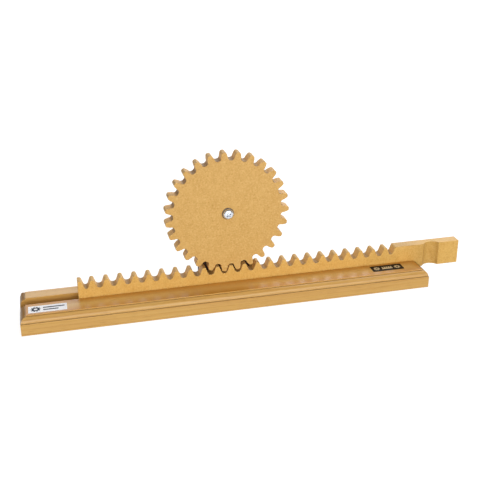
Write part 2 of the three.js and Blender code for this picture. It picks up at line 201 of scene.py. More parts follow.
class Body:
    """A mesh in the making: points in millimetres, and faces with a material number.

    The first value marks points that take the material's second tone: sawn edges of fibreboard, or painted
    shade on the front ledge's rim.
    The second marks darker points: painted shade in corners, creases, hollows and tooth roots, and darker
    crests. Both run from 0 to 1.
    """

    def __init__(self):
        self.points = []
        self.faces = []
        self.face_materials = []
        self.flat_faces = []
        self.edge_tone_and_shade = []
        self.painted_shade = []

    def ring(self, points, edge_tone_and_shade=0.0, painted_shade=0.0):
        """Adds points and returns their numbers. The painted shade is one value, or one for each point."""
        first = len(self.points)
        self.points += [Vector(p) for p in points]
        self.edge_tone_and_shade += [edge_tone_and_shade] * len(points)
        self.painted_shade += painted_shade if isinstance(painted_shade, list) else [painted_shade] * len(points)
        return list(range(first, len(self.points)))

    def face(self, numbers, material=0):
        self.faces.append(tuple(numbers))
        self.face_materials.append(material)

    def wall(self, low, high, closed=True, material=0):
        """Four-sided faces between two rings of the same length."""
        count = len(low)
        for i in range(count if closed else count - 1):
            j = (i + 1) % count
            self.face((low[i], low[j], high[j], high[i]), material)

    def walls(self, rings):
        """Walls from each ring to the next."""
        for low, high in zip(rings, rings[1:]):
            self.wall(low, high)

    def cap(self, loops, material=0):
        """Triangles that fill the first ring, less the others. All loops lie in one plane."""
        numbers = [n for loop in loops for n in loop]
        for triangle in tessellate_polygon([[self.points[n] for n in loop] for loop in loops]):
            self.flat_faces.append(len(self.faces))
            self.face([numbers[k] for k in triangle], material)

    def fan(self, ring, tip):
        """Triangles from a ring to one point."""
        for i, n in enumerate(ring):
            self.face((n, ring[(i + 1) % len(ring)], tip))

    def make(self, name, materials, sharp_angle=SHARP_ANGLE, transform=None):
        """A Blender object with its faces turned outwards and smooth up to the sharp angle."""
        mesh = bpy.data.meshes.new(name)
        mesh.from_pydata([transform @ p if transform else p for p in self.points], [], self.faces)
        for polygon, material in zip(mesh.polygons, self.face_materials):
            polygon.material_index = material
        for label, values in (("edge_tone_and_shade", self.edge_tone_and_shade), ("painted_shade", self.painted_shade)):
            mesh.attributes.new(label, "FLOAT", "POINT").data.foreach_set("value", values)
        for material in materials:
            mesh.materials.append(material)
        piece = bpy.data.objects.new(name, mesh)
        bpy.context.scene.collection.objects.link(piece)
        turn_outwards(mesh)
        smooth(piece, sharp_angle)
        self.outline_caps(mesh)
        return piece

    def outline_caps(self, mesh):
        """Marks the rim of each cap sharp, so that its long triangles are shaded as one flat face."""
        uses = {}
        for index in self.flat_faces:
            for edge in mesh.polygons[index].edge_keys:
                uses[edge] = uses.get(edge, 0) + 1
        for edge in mesh.edges:
            if uses.get(edge.key) == 1:
                edge.use_edge_sharp = True


def turn_outwards(mesh):
    """Makes the faces agree with each other and look out of the solid."""
    work = bmesh.new()
    work.from_mesh(mesh)
    bmesh.ops.recalc_face_normals(work, faces=work.faces)
    work.to_mesh(mesh)
    work.free()


def smooth(piece, sharp_angle):
    """Smooth shading that leaves flat faces flat and edges over the sharp angle crisp."""
    mesh = piece.data
    mesh.shade_smooth()
    mesh.set_sharp_from_angle(angle=math.radians(sharp_angle))
    weighted = piece.modifiers.new("flat faces stay flat", "WEIGHTED_NORMAL")
    weighted.keep_sharp = True
    weighted.weight = 90


def boolean(piece, other, operation="DIFFERENCE"):
    """Replaces a piece's mesh by its difference or intersection with another, which is used up."""
    piece.modifiers.clear()
    step = piece.modifiers.new("boolean", "BOOLEAN")
    step.operation = operation
    step.solver = "EXACT"
    step.object = other
    bpy.context.view_layer.update()
    result = bpy.data.meshes.new_from_object(piece.evaluated_get(bpy.context.evaluated_depsgraph_get()))
    piece.modifiers.clear()
    piece.data = result
    bpy.data.objects.remove(other)
    smooth(piece, SHARP_ANGLE)
    return piece


def edge_steps(radius, steps=3):
    """The rounding of an edge, as (inset, depth) from the face to the side."""
    angles = [math.pi / 2 * k / steps for k in range(steps + 1)]
    return [(radius * (1 - math.sin(a)), radius * (1 - math.cos(a))) for a in angles]


def nothing_at(where):
    """No hollow or no shade anywhere."""
    return 0.0


def sheet_rows(front, back):
    """(inset, y, toned) of the rings round a sheet's edge, from the front face to the back face."""
    steps = edge_steps(SHEET_EDGE)
    rows = [(shrink, front + depth, 1.0 if depth else 0.0) for shrink, depth in steps]
    return rows + [(shrink, back - depth, 1.0 if depth else 0.0) for shrink, depth in reversed(steps)]


def sheet_body(outline, front, back, bore=None, hollow_at=nothing_at, shade_at=nothing_at, strips_from=None):
    """A piece cut from sheet: an outline in x and z, from y = front to y = back, with eased edges.

    bore is the middle of a hole for the axle's screw. hollow_at(x) says how far the front face is hollowed
    at x, and shade_at(point) how much painted shade the sawn edge takes. Beyond strips_from the outline's top
    and bottom have points at the same places, and upright strips join them.
    """
    body = Body()
    shades = [shade_at(p) for p in outline]
    # Painted shade on the front face inside the finger scoop.
    dips = [HOLLOW_SHADE if hollow_at(p.x) > 0 else 0.0 for p in outline]
    rows = sheet_rows(front, back)
    rings = []
    for number, (shrink, y, edge_tone_and_shade) in enumerate(rows):
        in_front = number < len(rows) / 2
        hollow = hollow_at if in_front else nothing_at
        face_shade = dips if in_front else 0.0
        points = [(p.x, y + hollow(p.x), p.y) for p in inset(outline, shrink)]
        rings.append(body.ring(points, edge_tone_and_shade, shades if edge_tone_and_shade else face_shade))
    body.walls(rings)
    if strips_from is not None:
        cap_with_strips(body, rings[0], strips_from)
        cap_with_strips(body, rings[-1], strips_from)
        return body

    hole = []
    if bore is not None:
        for grow, y, edge_tone_and_shade in rows:
            points = [(p.x, y, p.y) for p in circle(BORE_RADIUS + grow, 64, bore)]
            hole.append(body.ring(points, edge_tone_and_shade))
        body.walls(hole)
    body.cap([rings[0], *hole[:1]])
    body.cap([rings[-1], *hole[-1:]])
    return body


def cap_with_strips(body, ring, strips_from):
    """Fills a ring: flat triangles up to strips_from, then upright strips between top and bottom points."""
    ends = sorted((n for n in ring if body.points[n].x >= strips_from - 1e-4), key=lambda n: body.points[n].z)
    half = len(ends) // 2
    bottom = sorted(ends[:half], key=lambda n: body.points[n].x)
    top = sorted(ends[half:], key=lambda n: body.points[n].x)
    body.wall(bottom, top, closed=False)
    keep = set(bottom[1:] + top[1:])
    body.cap([[n for n in ring if n not in keep]])


def turned_body(rows, segments=64, closed=False, start=0.0):
    """A solid turned about the Y axis. A row is (radius, y); a radius may be a function of the angle.

    A closed body is a ring whose last row joins its first. The first segment begins at the start angle.
    """
    body = Body()
    rings = []
    for radius, y in rows:
        if radius == 0:
            rings.append(body.ring([(0, y, 0)]))
            continue
        angles = [start + TAU * k / segments for k in range(segments)]
        radii = [radius(a) if callable(radius) else radius for a in angles]
        rings.append(body.ring([(r * math.cos(a), y, r * math.sin(a)) for r, a in zip(radii, angles)]))
    pairs = list(zip(rings, rings[1:])) + ([(rings[-1], rings[0])] if closed else [])
    for low, high in pairs:
        if len(low) == 1:
            body.fan(high, low[0])
        elif len(high) == 1:
            body.fan(low, high[0])
        else:
            body.wall(low, high)
    return body


def thread_rows(start, end, crest, root, pitch, limit):
    """Rows of a helical thread along Y. limit(y) caps the radius, for a chamfered end or a point."""
    count = max(2, round((end - start) / pitch * ROWS_PER_TURN))

    def radius_at(y):
        def radius(angle):
            phase = (y / pitch - angle / TAU) % 1.0
            height = min(1.0, max(0.0, (abs(2 * phase - 1) - THREAD_FLAT) / (1 - 2 * THREAD_FLAT)))
            return min(root + (crest - root) * height, limit(y))

        return radius

    return [(radius_at(y), y) for y in (start + (end - start) * k / count for k in range(count + 1))]


def cross_cutter(mouth, depth, span, width, turn):
    """A tapered cross, turned by an angle, that cuts a recess from y = mouth to y = mouth + depth."""
    body = Body()
    rings = []
    sections = ((-1.0, 1.1, 1.1), (0.0, 1.0, 1.0), (0.75 * depth, 0.62, 0.8), (depth, 0.3, 0.7))
    for y, scale_span, scale_width in sections:
        a, b = span / 2 * scale_span, width / 2 * scale_width
        quarter = [(a, -b), (a, b), (b, b)]
        corners = [Matrix.Rotation(turn + TAU / 4 * k, 2) @ Vector(p) for k in range(4) for p in quarter]
        rings.append(body.ring([(p.x, mouth + y, p.y) for p in corners]))
    body.walls(rings)
    body.cap([rings[0]])
    body.cap([rings[-1]])
    return body


# ---- Materials --------------------------------------------------------------------------------------------


def colour(red, green, blue):
    """A colour given as it looks on screen, 0 to 255, as linear light."""
    def linear(c):
        c /= 255
        return c / 12.92 if c <= 0.04045 else ((c + 0.055) / 1.055) ** 2.4

    return (linear(red), linear(green), linear(blue), 1.0)


class Surface:
    """A node material in the making, around one Principled shader."""

    def __init__(self, name, **shader_values):
        self.material = bpy.data.materials.new(name)
        self.material.use_nodes = True
        self.tree = self.material.node_tree
        self.shader = self.tree.nodes["Principled BSDF"]
        for label, value in shader_values.items():
            self.shader.inputs[label.replace("_", " ")].default_value = value
        self.place = self.add("ShaderNodeTexCoord").outputs["Object"]

    def add(self, kind, settings=None, **inputs):
        """A node; an input is a value, or the output that feeds it."""
        node = self.tree.nodes.new(kind)
        for label, value in (settings or {}).items():
            setattr(node, label, value)
        for label, value in inputs.items():
            self.feed(node, label.replace("_", " "), value)
        return node

    def feed(self, node, socket, value):
        socket = node.inputs[socket]
        if isinstance(value, bpy.types.NodeSocket):
            self.tree.links.new(value, socket)
        else:
            socket.default_value = value

    def noise(self, scale, detail=3.0, roughness=0.55, stretch=(1, 1, 1), shift=(0, 0, 0)):
        """Smooth noise; scale is in features per metre, and stretch multiplies it along each axis."""
        place = self.add("ShaderNodeMapping", Vector=self.place, Scale=stretch, Location=shift)
        return self.add(
            "ShaderNodeTexNoise", Vector=place.outputs[0], Scale=scale, Detail=detail, Roughness=roughness
        ).outputs["Fac"]

    def ramp(self, factor, *stops):
        """A value from 0 to 1 turned into colours or greys; a stop is (place, colour or grey)."""
        node = self.add("ShaderNodeValToRGB", Fac=factor)
        elements = node.color_ramp.elements
        while len(elements) < len(stops):
            elements.new(1.0)
        for element, (place, shade) in zip(elements, stops):
            element.position = place
            element.color = shade if isinstance(shade, tuple) else (shade, shade, shade, 1.0)
        return node.outputs["Color"]

    def mix(self, factor, low, high, blend="MIX"):
        node = self.add("ShaderNodeMix", {"data_type": "RGBA", "blend_type": blend})
        for socket, value in ((0, factor), (6, low), (7, high)):
            self.feed(node, socket, value)
        return node.outputs[2]

    def math(self, operation, a, b):
        node = self.add("ShaderNodeMath", {"operation": operation})
        self.feed(node, 0, a)
        self.feed(node, 1, b)
        return node.outputs[0]

    def attribute(self, name):
        """One of the values that each point of the mesh carries."""
        return self.add("ShaderNodeAttribute", {"attribute_name": name}).outputs["Fac"]

    def bump(self, height, distance):
        """Surface relief; distance is the height of the relief in metres."""
        return self.add("ShaderNodeBump", Height=height, Distance=distance, Strength=1.0).outputs["Normal"]

    def finish(self, **feeds):
        """Feeds the shader's inputs and returns the finished material."""
        for label, value in feeds.items():
            self.feed(self.shader, label.replace("_", " "), value)
        return self.material


def wood(name, varnish, end_tone):
    """Varnished light hardwood with its grain along X, with painted shade in its creases, at the channel's
    foot and on the ledge's rim.

    varnish is the strength of the glossy coat. end_tone is how far the colour goes to browner end grain.
    """
    s = Surface(name, Coat_Weight=varnish, Coat_Roughness=0.31, Coat_IOR=1.5, Specular_IOR_Level=0.1)
    pith = s.add("ShaderNodeMapping", Vector=s.place, Scale=(0.05, 1.0, 1.0), Location=(0.0, 0.021, 0.047))
    rings = s.add(
        "ShaderNodeTexWave",
        {"wave_type": "RINGS", "rings_direction": "X", "wave_profile": "SAW"},
        Vector=pith.outputs[0], Scale=62.0, Distortion=5.5,
        Detail=3.0, Detail_Scale=1.4, Detail_Roughness=0.55,
    ).outputs["Fac"]
    broad = s.noise(20, detail=2, stretch=(0.12, 1, 1))
    streaks = s.noise(620, detail=4, roughness=0.6, stretch=(0.02, 1, 1))
    fibres = s.noise(2300, detail=2, stretch=(0.03, 1, 1), shift=(0.3, 0.1, 0.2))

    base = s.ramp(rings, (0.0, WOOD_LIGHT), (0.72, WOOD_MIDDLE), (0.94, WOOD_DARK), (1.0, WOOD_LIGHT))
    base = s.mix(s.ramp(broad, (0.3, 0.0), (0.75, 0.55)), base, WOOD_WARM)
    base = s.mix(0.5, base, s.ramp(streaks, (0.3, 0.42), (0.7, 0.58)), "OVERLAY")
    pores = s.ramp(fibres, (0.30, 0.55), (0.42, 0.0))
    base = s.mix(pores, base, WOOD_PORE)
    # Painted shade on the front ledge's rim.
    base = s.mix(s.math("MULTIPLY", s.attribute("edge_tone_and_shade"), 0.9), base, WOOD_RIM_SHADE)
    base = s.mix(end_tone, base, WOOD_END)
    # Painted shade in creases and at the channel's foot.
    base = s.mix(s.math("MULTIPLY", s.attribute("painted_shade"), 0.95), base, WOOD_PAINTED_SHADE)
    relief = s.math("SUBTRACT", streaks, pores)
    rough = s.ramp(streaks, (0.2, 0.42), (0.8, 0.54))
    return s.finish(Base_Color=base, Roughness=rough, Normal=s.bump(relief, 0.00003))


def fibreboard(name, face_tones, fleck_tones, edge_tones, shade_tone):
    """Lacquered medium-density fibreboard: speckled faces, sawn edges a little lighter as painted light, and
    painted shade darkest in the tooth roots.
    """
    s = Surface(name, Specular_IOR_Level=0.3, Coat_Weight=0.12, Coat_Roughness=0.35)
    mottle = s.noise(150, detail=2, roughness=0.5)
    fleck = s.noise(520, detail=3, roughness=0.7)
    dust = s.noise(3200, detail=2)
    layers = s.noise(420, detail=3, stretch=(0.7, 2.6, 0.7))

    face = s.ramp(mottle, *zip((0.28, 0.52, 0.76), face_tones))
    face = s.mix(s.ramp(fleck, (0.28, 0.7), (0.46, 0.0)), face, fleck_tones[0])
    face = s.mix(s.ramp(fleck, (0.53, 0.0), (0.70, 0.6)), face, fleck_tones[1])
    # Sawn edges a little lighter than the faces: painted light on flanks turned from the lamps.
    edge = s.ramp(layers, *zip((0.25, 0.75), edge_tones))
    base = s.mix(s.attribute("edge_tone_and_shade"), face, edge)
    base = s.mix(0.35, base, s.ramp(dust, (0.3, 0.4), (0.7, 0.6)), "OVERLAY")
    # Painted shade, darkest in the tooth roots and in the finger scoop.
    base = s.mix(s.math("MULTIPLY", s.attribute("painted_shade"), 0.65), base, shade_tone)
    relief = s.math("ADD", fleck, s.math("MULTIPLY", dust, 0.6))
    rough = s.ramp(mottle, (0.3, 0.52), (0.7, 0.62))
    return s.finish(Base_Color=base, Roughness=rough, Normal=s.bump(relief, 0.00004))


def steel(name, dark, light, smoothest, roughest):
    """Metal with a faint haze over it."""
    s = Surface(name, Metallic=1.0)
    haze = s.noise(500, detail=3)
    fine = s.noise(4000, detail=2, stretch=(1, 0.2, 1))
    base = s.ramp(haze, (0.3, dark), (0.7, light))
    rough = s.ramp(haze, (0.3, smoothest), (0.75, roughest))
    return s.finish(Base_Color=base, Roughness=rough, Normal=s.bump(fine, 0.000008))


def vinyl(name, low, high, gloss=0.12):
    """Printed sticker film, cloudy between two close colours."""
    s = Surface(name, Specular_IOR_Level=gloss)
    cloud = s.noise(120, detail=2)
    grain = s.noise(5000, detail=2)
    base = s.ramp(cloud, (0.3, low), (0.7, high))
    rough = s.ramp(grain, (0.3, 0.38), (0.7, 0.5))
    return s.finish(Base_Color=base, Roughness=rough, Normal=s.bump(grain, 0.000004))


def light_table(name):
    """Pale sheet that glows, and more so far from the middle, so that it looks white all over."""
    s = Surface(name, Specular_IOR_Level=0.1, Roughness=0.9, Emission_Color=(1.0, 1.0, 1.0, 1.0))
    base = s.ramp(s.noise(3, detail=2), (0.3, 0.34), (0.7, 0.36))
    distance = s.add("ShaderNodeVectorMath", {"operation": "LENGTH"}, Vector=s.place).outputs["Value"]
    glow = s.add("ShaderNodeMapRange", Value=distance)
    for label, value in (("From Min", 0.4), ("From Max", 2.5), ("To Min", FLOOR_GLOW), ("To Max", 1.2)):
        s.feed(glow, label, value)
    return s.finish(Base_Color=base, Emission_Strength=glow.outputs[0])


WOOD_LIGHT = colour(220, 174, 98)
WOOD_MIDDLE = colour(214, 166, 88)
WOOD_DARK = colour(202, 150, 72)
WOOD_WARM = colour(206, 154, 74)
WOOD_PORE = colour(164, 112, 44)
WOOD_PAINTED_SHADE = colour(104, 60, 6)
WOOD_END = colour(146, 104, 50)
WOOD_RIM_SHADE = colour(190, 122, 6)
FLOOR_GLOW = 0.85

VARNISHED_WOOD = wood("varnished wood", varnish=0.85, end_tone=0.0)
END_GRAIN = wood("varnished end grain", varnish=0.2, end_tone=0.8)
PINION_BOARD = fibreboard(
    "pinion fibreboard",
    face_tones=(colour(214, 165, 88), colour(220, 172, 95), colour(225, 178, 102)),
    fleck_tones=(colour(190, 136, 58), colour(240, 202, 132)),
    edge_tones=(colour(220, 172, 98), colour(236, 190, 118)),
    shade_tone=colour(100, 62, 4),
)
# A lighter copy of the pinion's fibreboard: painted light, for the light the rack's front loses over the
# ledge.
RACK_BOARD = fibreboard(
    "rack fibreboard",
    face_tones=(colour(222, 172, 86), colour(228, 179, 93), colour(232, 185, 100)),
    fleck_tones=(colour(198, 143, 58), colour(244, 206, 130)),
    edge_tones=(colour(224, 176, 98), colour(240, 194, 118)),
    shade_tone=colour(100, 62, 4),
)
# The post is near-black: painted shade, for the deep shade seen through the teeth in mesh.
DARK_FIBREBOARD = fibreboard(
    "shade-dark fibreboard",
    face_tones=(colour(44, 24, 11), colour(54, 31, 15), colour(64, 38, 20)),
    fleck_tones=(colour(34, 18, 9), colour(80, 50, 28)),
    edge_tones=(colour(46, 26, 12), colour(66, 38, 18)),
    shade_tone=colour(36, 20, 8),
)
ZINC = steel("zinc plate", colour(196, 202, 212), colour(228, 231, 236), 0.2, 0.34)
# Darkened steel: painted shade, for the dark ring round the pivot screw's head.
SHADE_DARK_STEEL = steel("shade-dark steel", colour(104, 91, 79), colour(130, 116, 102), 0.4, 0.55)
WHITE_VINYL = vinyl("white sticker", colour(242, 243, 247), colour(250, 250, 252), gloss=0.8)
BLACK_VINYL = vinyl("black sticker", colour(15, 9, 6), colour(24, 15, 10))
BLUE_INK = vinyl("blue ink", colour(30, 42, 60), colour(42, 54, 72))
PALE_INK = vinyl("pale ink", colour(200, 176, 132), colour(214, 192, 150))


def place(piece, body, slot, *nodes):
    """Turns a piece into metres, and says its body and the CAD nodes that it stands for; slot is not used."""
    piece.data.transform(Matrix.Scale(MM, 4))
    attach(piece, body)
    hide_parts(*nodes)
    return piece


# ---- The board --------------------------------------------------------------------------------------------


def moulding_profile(height):
    """(inset, z, painted shade) up one side of the board: eased foot, plinth, quirk, quarter round, step,
    top.
    """
    corners = [(1.0, 0, 0), (0, 0, FOOT_EASING)]
    corners += [(0, PLINTH_HEIGHT, PLINTH_EASING), (QUIRK_STEP, PLINTH_HEIGHT, 0)]
    plinth = [(p.x, p.y, 0.0) for p in rounded(corners, 3, closed=False)[1:-1]]
    round_top = height - TOP_FILLET
    reach = MOULDING_INSET - QUIRK_STEP - TOP_FILLET / 2
    steps = 14
    # Painted shade in the quirk: the quarter round is darkened where it leaves it.
    quirk_shade = [1.0, 0.3] + [0.0] * (steps - 1)  # the quarter round is dark only where it leaves the quirk
    quarter = []
    for k, painted_shade in enumerate(quirk_shade):
        angle = math.pi / 2 * k / steps
        x = QUIRK_STEP + reach * (1 - math.cos(angle))
        z = PLINTH_HEIGHT + (round_top - PLINTH_HEIGHT) * math.sin(angle)
        quarter.append((x, z, painted_shade))
    # Painted shade on the step's upright.
    step = [(MOULDING_INSET, round_top, 1.0), (MOULDING_INSET, round_top + 0.4, 0.0)]
    top = [(MOULDING_INSET + shrink, height - depth, 0.0) for shrink, depth in reversed(edge_steps(LIP))]
    return plinth + quarter + step + top


def board_body():
    """The board: a slab, and two ridges on it with the channel between them."""
    half_length, half_depth, height = box_mm("base_board")[1]
    front_wall = CHANNEL_CENTRE - CHANNEL_WIDTH / 2
    back_wall = CHANNEL_CENTRE + CHANNEL_WIDTH / 2
    profile = moulding_profile(height)
    body = Body()

    def wall_easing(z):
        """How far the channel's wall has gone back at a height, near its eased upper edge."""
        over = max(0.0, z - (height - CHANNEL_EASING))
        return CHANNEL_EASING - math.sqrt(max(0.0, CHANNEL_EASING ** 2 - over * over))

    def rectangle(shrink, z, y_front, y_back, painted_shade=0.0):
        """A level ring; its corners run front left, front right, back right, back left."""
        x = half_length - shrink
        return body.ring([(-x, y_front, z), (x, y_front, z), (x, y_back, z), (-x, y_back, z)], painted_shade=painted_shade)

    # The slab under the channel's floor.
    foot = [row for row in profile if row[1] < CHANNEL_FLOOR]
    slab = [rectangle(s, z, -half_depth + s, half_depth - s) for s, z, _ in foot]
    body.walls(slab)

    # The two ridges beside the channel, whose walls have painted shade towards its floor.
    upper_rows = [(0.0, CHANNEL_FLOOR, 0.0)] + [row for row in profile if row[1] > CHANNEL_FLOOR]
    ridges = []
    for side in (-1, 1):
        rings = []
        for shrink, z, painted_shade in upper_rows:
            outer = half_depth - shrink
            shade = CHANNEL_SHADE * (height - z) / (height - CHANNEL_FLOOR)
            if side < 0:
                y_range = (-outer, front_wall - wall_easing(z))
                rings.append(rectangle(shrink, z, *y_range, [painted_shade, painted_shade, shade, shade]))
            else:
                y_range = (back_wall + wall_easing(z), outer)
                rings.append(rectangle(shrink, z, *y_range, [shade, shade, painted_shade, painted_shade]))
        body.walls(rings)
        ridges.append(rings)
    front_ridge, back_ridge = ridges

    # The front ledge has a darker rim all round: painted shade.
    rim_end = MOULDING_INSET + RIM_WIDTH
    for n in front_ridge[-1]:
        body.edge_tone_and_shade[n] = 1.0
    front_ridge.append(rectangle(rim_end, height, rim_end - half_depth, front_wall - RIM_WIDTH))
    body.wall(front_ridge[-2], front_ridge[-1])

    # The channel's floor, and the slab's sides up to the ridges.
    front, back, under = front_ridge[0], back_ridge[0], slab[-1]
    body.face((front[3], front[2], back[1], back[0]))
    body.face((under[0], under[1], front[1], front[0]))
    body.face((under[2], under[3], back[3], back[2]))
    body.face((under[1], under[2], back[2], back[1], front[2], front[1]))
    body.face((under[3], under[0], front[0], front[3], back[0], back[3]))

    # The screw holes run from the underside to the top of the back ridge.
    mouths, exits = [], []
    for x, y, rows in post_screw_holes(height):
        rings = [body.ring([(x + p.x, y + p.y, z) for p in circle(radius, 32)]) for radius, z in rows]
        body.walls(rings)
        mouths.append(rings[0])
        exits.append(rings[-1])
    body.cap([slab[0], *mouths])
    body.cap([front_ridge[-1]])
    body.cap([back_ridge[-1], *exits])
    return body


def post_screw_holes(height):
    """(x, y, [(radius, z)]) of the countersunk holes under the post."""
    found = []
    for node in ("post_screw_left", "post_screw_right"):
        low, high = box_mm(node)
        centre = (low + high) / 2
        head = (high.x - low.x) / 2 + HOLE_PLAY
        sink = 2.0
        rows = [(head, 0.0), (head, low.z), (head - sink, low.z + sink), (head - sink, height)]
        found.append((centre.x, centre.y, rows))
    return found


def board():
    """The finished board, with end grain on each face that is turned towards its ends."""
    piece = board_body().make("board", [VARNISHED_WOOD, END_GRAIN], 25)
    for face in piece.data.polygons:
        turned_to_end = abs(face.normal.x) > 0.05
        face.material_index = 1 if turned_to_end else 0
    return piece


place(board(), "frame", "varnished_wood", "base_board")


# ---- The rack ---------------------------------------------------------------------------------------------


def half_tooth(height):
    """Half the rack tooth's width at a height over the pitch line."""
    return TOOTH_THICKNESS / 2 - height * math.tan(PRESSURE_ANGLE)


def tooth_shade(over_pitch, addendum, dedendum):
    """How dark a tooth's sawn edge is over the pitch line: painted shade in the roots, and slightly darker
    crests.
    """
    root = (-over_pitch - ROOT_SHADE_START) / (dedendum - ROOT_SHADE_START)
    crest = CREST_SHADE * (1 - (addendum - over_pitch) / CREST_SHADE_DEPTH)
    return min(1.0, max(0.0, root, crest))


def scoop_profile():
    """(x, depth) points across the finger scoop: round lip, hollow, round lip."""
    hollow = Vector((0.0, SCOOP_DEPTH - SCOOP_RADIUS))
    lip_x = math.sqrt((SCOOP_RADIUS + SCOOP_LIP) ** 2 - (SCOOP_LIP - hollow.y) ** 2)
    lips = [Vector((side * lip_x, SCOOP_LIP)) for side in (-1, 1)]
    left, right = [hollow + (lip - hollow).normalized() * SCOOP_RADIUS for lip in lips]
    points = arc(lips[0], Vector((-lip_x, 0)), left, 4)
    points += arc(hollow, left, right, 24)[1:-1]
    points += arc(lips[1], right, Vector((lip_x, 0)), 4)
    return [(SCOOP_X + p.x, p.y) for p in points]


def depth_at(profile, x):
    """The profile's depth at x, by straight lines between its points, and 0 beyond it."""
    for (x0, depth0), (x1, depth1) in zip(profile, profile[1:]):
        if x0 <= x <= x1:
            return depth0 + (depth1 - depth0) * (x - x0) / (x1 - x0)
    return 0.0


def rack_outline(low, high, stations):
    """The rack's outline in x and z: underside, handle, shoulder, teeth from right to left, sawn end."""
    pitch_z = AXLE.z - PITCH_RADIUS
    root_z = pitch_z - RACK_DEDENDUM

    def right_side(root_rounding=RACK_ROOT_ROUNDING):
        """A tooth's right flank, from its root up to its tip."""
        root = (half_tooth(-RACK_DEDENDUM), root_z, root_rounding)
        return [root, (half_tooth(RACK_ADDENDUM), high.z, TIP_ROUNDING)]

    def left_side(root_rounding=RACK_ROOT_ROUNDING):
        return mirrored(right_side(root_rounding))

    def moved(tooth, corners, advance=0.0):
        """Corners round the middle of a tooth, which is counted from the one in mesh."""
        x = MESH_OFFSET + tooth * PITCH - advance
        return [(x + corner_x, z, radius) for corner_x, z, radius in corners]

    sawn, shoulder = -TEETH_LEFT_OF_AXLE - 1, TEETH_RIGHT_OF_AXLE + 1
    corners = [(low.x, low.z, CORNER_EASING)]
    corners += [(x, low.z, 0) for x in stations]
    corners += [(high.x, low.z, CORNER_EASING), (high.x, high.z, CORNER_EASING)]
    corners += [(x, high.z, 0) for x in reversed(stations)]
    corners += moved(shoulder, left_side(), SHOULDER_ADVANCE)
    for tooth in range(shoulder - 1, sawn, -1):
        beside_sawn = tooth == sawn + 1
        left_root = SAWN_ROOT_ROUNDING if beside_sawn else RACK_ROOT_ROUNDING
        corners += moved(tooth, right_side() + left_side(left_root))
    corners += moved(sawn, right_side(SAWN_ROOT_ROUNDING), -SAWN_ADVANCE)
    corners.append((low.x, high.z, CORNER_EASING))
    return rounded(corners)


def rack_body():
    """The rack with its handle, cut from sheet and hollowed by the finger scoop."""
    low, high = box_mm("rack")
    scoop = scoop_profile()
    outline = rack_outline(low, high, [HANDLE_START, *(x for x, _ in scoop)])
    pitch_z = AXLE.z - PITCH_RADIUS

    def hollow_at(x):
        return depth_at(scoop, x)

    def shade_at(point):
        over_pitch = point.y - pitch_z
        below_roots = over_pitch < -RACK_DEDENDUM - 0.1
        if point.x > HANDLE_START or below_roots:
            return 0.0
        return tooth_shade(over_pitch, RACK_ADDENDUM, RACK_DEDENDUM)

    return sheet_body(
        outline, low.y, high.y, hollow_at=hollow_at, shade_at=shade_at, strips_from=HANDLE_START
    )


place(rack_body().make("toothed_rack", [RACK_BOARD]), "rack", "fibreboard", "rack")


# ---- The pinion -------------------------------------------------------------------------------------------


def involute(angle):
    """The polar angle of a point on an involute, from its flank angle."""
    return math.tan(angle) - angle


def half_tooth_angle(radius):
    """Half the angle that a pinion tooth fills at a radius on its involute flank."""
    flank_angle = math.acos(min(1.0, BASE_RADIUS / radius))
    return TOOTH_THICKNESS / 2 / PITCH_RADIUS + involute(PRESSURE_ANGLE) - involute(flank_angle)


def pinion_outline():
    """The pinion's outline: root corner, involute flank and rounded tip, and the same mirrored, per tooth."""
    tip, root = PITCH_RADIUS + PINION_ADDENDUM, PITCH_RADIUS - PINION_DEDENDUM
    flank_start = BASE_RADIUS + UNDERCUT_START
    flank_end = tip - TIP_ROUNDING
    steps = 6
    radii = [flank_start + (flank_end - flank_start) * k / steps for k in range(steps + 1)]
    side = [(root, half_tooth_angle(flank_start), PINION_ROOT_ROUNDING)]
    side += [(radius, half_tooth_angle(radius), 0.0) for radius in radii]
    side += [(tip, half_tooth_angle(tip), TIP_ROUNDING)]
    gap_direction = -math.pi / 2 + MESH_OFFSET / PITCH_RADIUS  # the rack tooth in mesh stands in this gap
    corners = []
    for tooth in range(PINION_TEETH):
        middle = gap_direction + (tooth + 0.5) * TAU / PINION_TEETH
        flanks = [(r, middle - half, rounding) for r, half, rounding in side]
        flanks += [(r, middle + half, rounding) for r, half, rounding in reversed(side)]
        corners += [(*polar(AXLE.xz, radius, angle), rounding) for radius, angle, rounding in flanks]
    return rounded(corners, 5)


def pinion_body():
    low, high = box_mm("pinion_gear")

    def shade_at(point):
        over_pitch = (point - AXLE.xz).length - PITCH_RADIUS
        return tooth_shade(over_pitch, PINION_ADDENDUM, PINION_DEDENDUM)

    return sheet_body(pinion_outline(), low.y, high.y, bore=AXLE.xz, shade_at=shade_at)


place(pinion_body().make("pinion", [PINION_BOARD]), "pinion", "fibreboard", "pinion_gear")


# ---- The post ---------------------------------------------------------------------------------------------


def post_body():
    """The post, with a half-round crown about the axle. It stands on the board."""
    low, high = box_mm("support_post")
    foot = box_mm("base_board")[1].z + 0.02
    steps = 48
    crown = [(*polar(AXLE.xz, high.x - AXLE.x, math.pi * k / steps), 0) for k in range(steps + 1)]
    corners = [(low.x, foot, CORNER_EASING), (high.x, foot, CORNER_EASING), *crown]
    return sheet_body(rounded(corners, 4), low.y, high.y, bore=AXLE.xz)


place(post_body().make("post", [DARK_FIBREBOARD]), "frame", "dark_fibreboard", "support_post")


# ---- The pivot and the screws -----------------------------------------------------------------------------

ON_AXLE = Matrix.Translation((AXLE.x, 0, AXLE.z))


